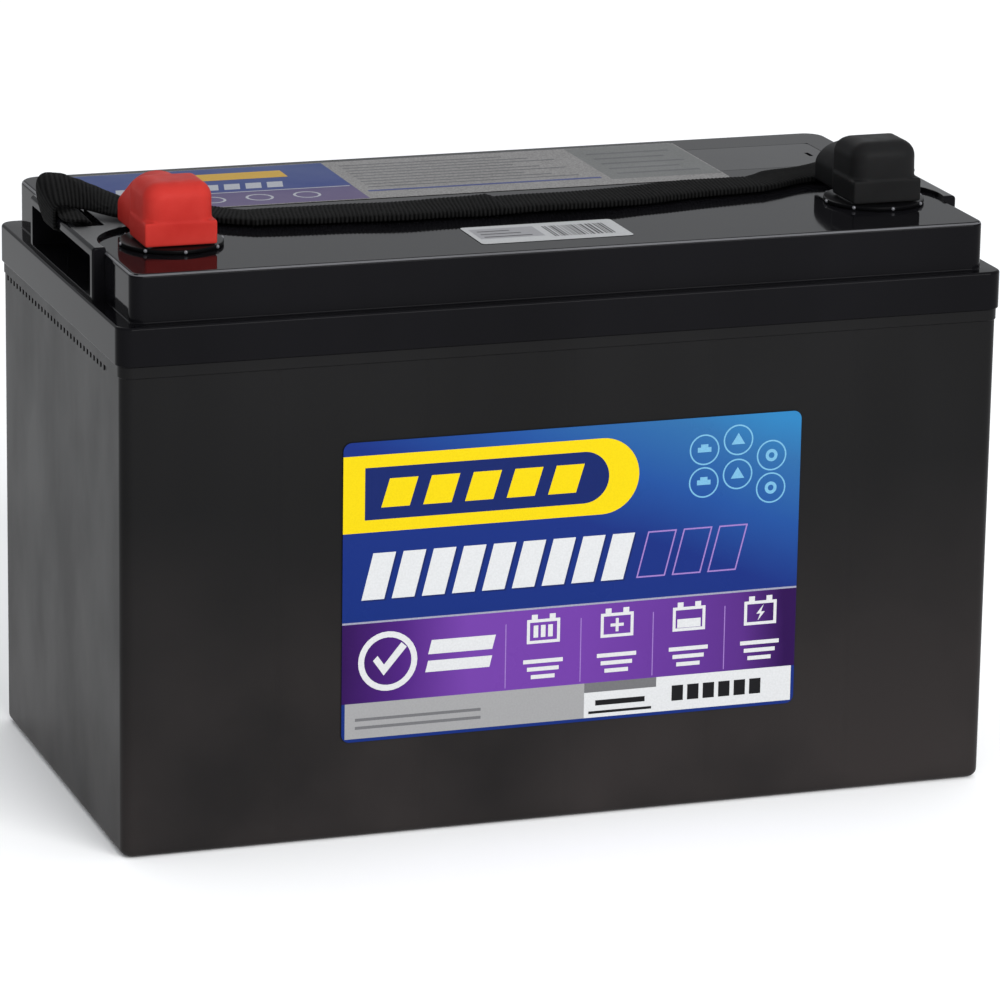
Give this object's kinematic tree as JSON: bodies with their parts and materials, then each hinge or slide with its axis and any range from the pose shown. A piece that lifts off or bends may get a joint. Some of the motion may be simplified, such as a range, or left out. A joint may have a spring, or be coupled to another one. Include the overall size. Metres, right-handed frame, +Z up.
{
  "type": "deep cycle battery",
  "caption": "Sealed block battery with bolted terminals under soft covers, a flush end handle bar at each end and a webbing carry strap.",
  "frame": {"origin": "middle of the underside, on the floor", "axes": "+X along the length, to the right of someone facing the label; -Y is the front, with the large label; +Z is up"},
  "size_m": [0.33, 0.172, 0.234],
  "materials": {
    "case_plastic": "satin moulded ABS, fine texture",
    "lid_plastic": "glossy moulded ABS, almost a mirror on top",
    "strip_plastic": "glossy moulded ABS",
    "positive_lead": "brown lead dioxide paste on a lead grid",
    "negative_lead": "grey sponge lead on a lead grid",
    "glass_mat": "white felted glass mat",
    "valve_rubber": "matt moulded rubber",
    "link_lead": "cast lead, dull bright",
    "post_brass": "machined brass",
    "seal_rubber": "satin rubber",
    "collar_plastic": "glossy black moulding",
    "bolt_steel": "zinc plated steel",
    "red_cover_rubber": "satin soft moulded rubber, red",
    "black_cover_rubber": "satin soft moulded rubber, black",
    "webbing": "black woven webbing, ribbed",
    "front_label_film": "printed film, satin",
    "top_label_film": "printed film, satin",
    "barcode_paper": "printed paper, matt"
  },
  "bodies": {
    "battery": {"container": "case_plastic", "lid": "lid_plastic", "vent_cover_strip": "strip_plastic", "cell_1_positive_plates": "positive_lead", "cell_1_negative_plates": "negative_lead", "cell_1_separator": "glass_mat", "cell_2_positive_plates": "positive_lead", "cell_2_negative_plates": "negative_lead", "cell_2_separator": "glass_mat", "cell_3_positive_plates": "positive_lead", "cell_3_negative_plates": "negative_lead", "cell_3_separator": "glass_mat", "cell_4_positive_plates": "positive_lead", "cell_4_negative_plates": "negative_lead", "cell_4_separator": "glass_mat", "cell_5_positive_plates": "positive_lead", "cell_5_negative_plates": "negative_lead", "cell_5_separator": "glass_mat", "cell_6_positive_plates": "positive_lead", "cell_6_negative_plates": "negative_lead", "cell_6_separator": "glass_mat", "intercell_link_1": "link_lead", "intercell_link_2": "link_lead", "intercell_link_3": "link_lead", "intercell_link_4": "link_lead", "intercell_link_5": "link_lead", "positive_terminal": "post_brass", "positive_seal": "seal_rubber", "positive_collar": "collar_plastic", "positive_flat_washer": "bolt_steel", "positive_spring_washer": "bolt_steel", "negative_terminal": "post_brass", "negative_seal": "seal_rubber", "negative_collar": "collar_plastic", "negative_flat_washer": "bolt_steel", "negative_spring_washer": "bolt_steel", "strap_left_end": "webbing", "strap_right_end": "webbing", "front_label": "front_label_film", "top_label": "top_label_film", "barcode_label": "barcode_paper"},
    "positive_cover": {"positive_terminal_cover": "red_cover_rubber"},
    "negative_cover": {"negative_terminal_cover": "black_cover_rubber"},
    "positive_bolt_turns": {"positive_bolt": "bolt_steel"},
    "negative_bolt_turns": {"negative_bolt": "bolt_steel"},
    "grip": {"strap_grip": "webbing"},
    "valve_1": {"relief_valve_1": "valve_rubber"},
    "valve_2": {"relief_valve_2": "valve_rubber"},
    "valve_3": {"relief_valve_3": "valve_rubber"},
    "valve_4": {"relief_valve_4": "valve_rubber"},
    "valve_5": {"relief_valve_5": "valve_rubber"},
    "valve_6": {"relief_valve_6": "valve_rubber"}
  },
  "joints": [
    {"name": "positive_cover_lift", "type": "slide", "parent": "battery", "child": "positive_cover", "axis": [0, 0, 1], "range_m": [0, 0.04]},
    {"name": "negative_cover_lift", "type": "slide", "parent": "battery", "child": "negative_cover", "axis": [0, 0, 1], "range_m": [0, 0.04]},
    {"name": "positive_bolt_turn", "type": "hinge", "parent": "battery", "child": "positive_bolt_turns", "pos_m": [-0.133, -0.038, 0.22], "axis": [0, 0, 1], "continuous": true},
    {"name": "negative_bolt_turn", "type": "hinge", "parent": "battery", "child": "negative_bolt_turns", "pos_m": [0.133, -0.038, 0.22], "axis": [0, 0, 1], "continuous": true},
    {"name": "grip_lift", "type": "slide", "parent": "battery", "child": "grip", "axis": [0, 0, 1], "range_m": [0, 0.045]},
    {"name": "relief_valve_1_lift", "type": "slide", "parent": "battery", "child": "valve_1", "axis": [0, 0, 1], "range_m": [0, 0.0006], "stiffness_N_per_m": 200, "springref_m": -0.001},
    {"name": "relief_valve_2_lift", "type": "slide", "parent": "battery", "child": "valve_2", "axis": [0, 0, 1], "range_m": [0, 0.0006], "stiffness_N_per_m": 200, "springref_m": -0.001},
    {"name": "relief_valve_3_lift", "type": "slide", "parent": "battery", "child": "valve_3", "axis": [0, 0, 1], "range_m": [0, 0.0006], "stiffness_N_per_m": 200, "springref_m": -0.001},
    {"name": "relief_valve_4_lift", "type": "slide", "parent": "battery", "child": "valve_4", "axis": [0, 0, 1], "range_m": [0, 0.0006], "stiffness_N_per_m": 200, "springref_m": -0.001},
    {"name": "relief_valve_5_lift", "type": "slide", "parent": "battery", "child": "valve_5", "axis": [0, 0, 1], "range_m": [0, 0.0006], "stiffness_N_per_m": 200, "springref_m": -0.001},
    {"name": "relief_valve_6_lift", "type": "slide", "parent": "battery", "child": "valve_6", "axis": [0, 0, 1], "range_m": [0, 0.0006], "stiffness_N_per_m": 200, "springref_m": -0.001}
  ]
}
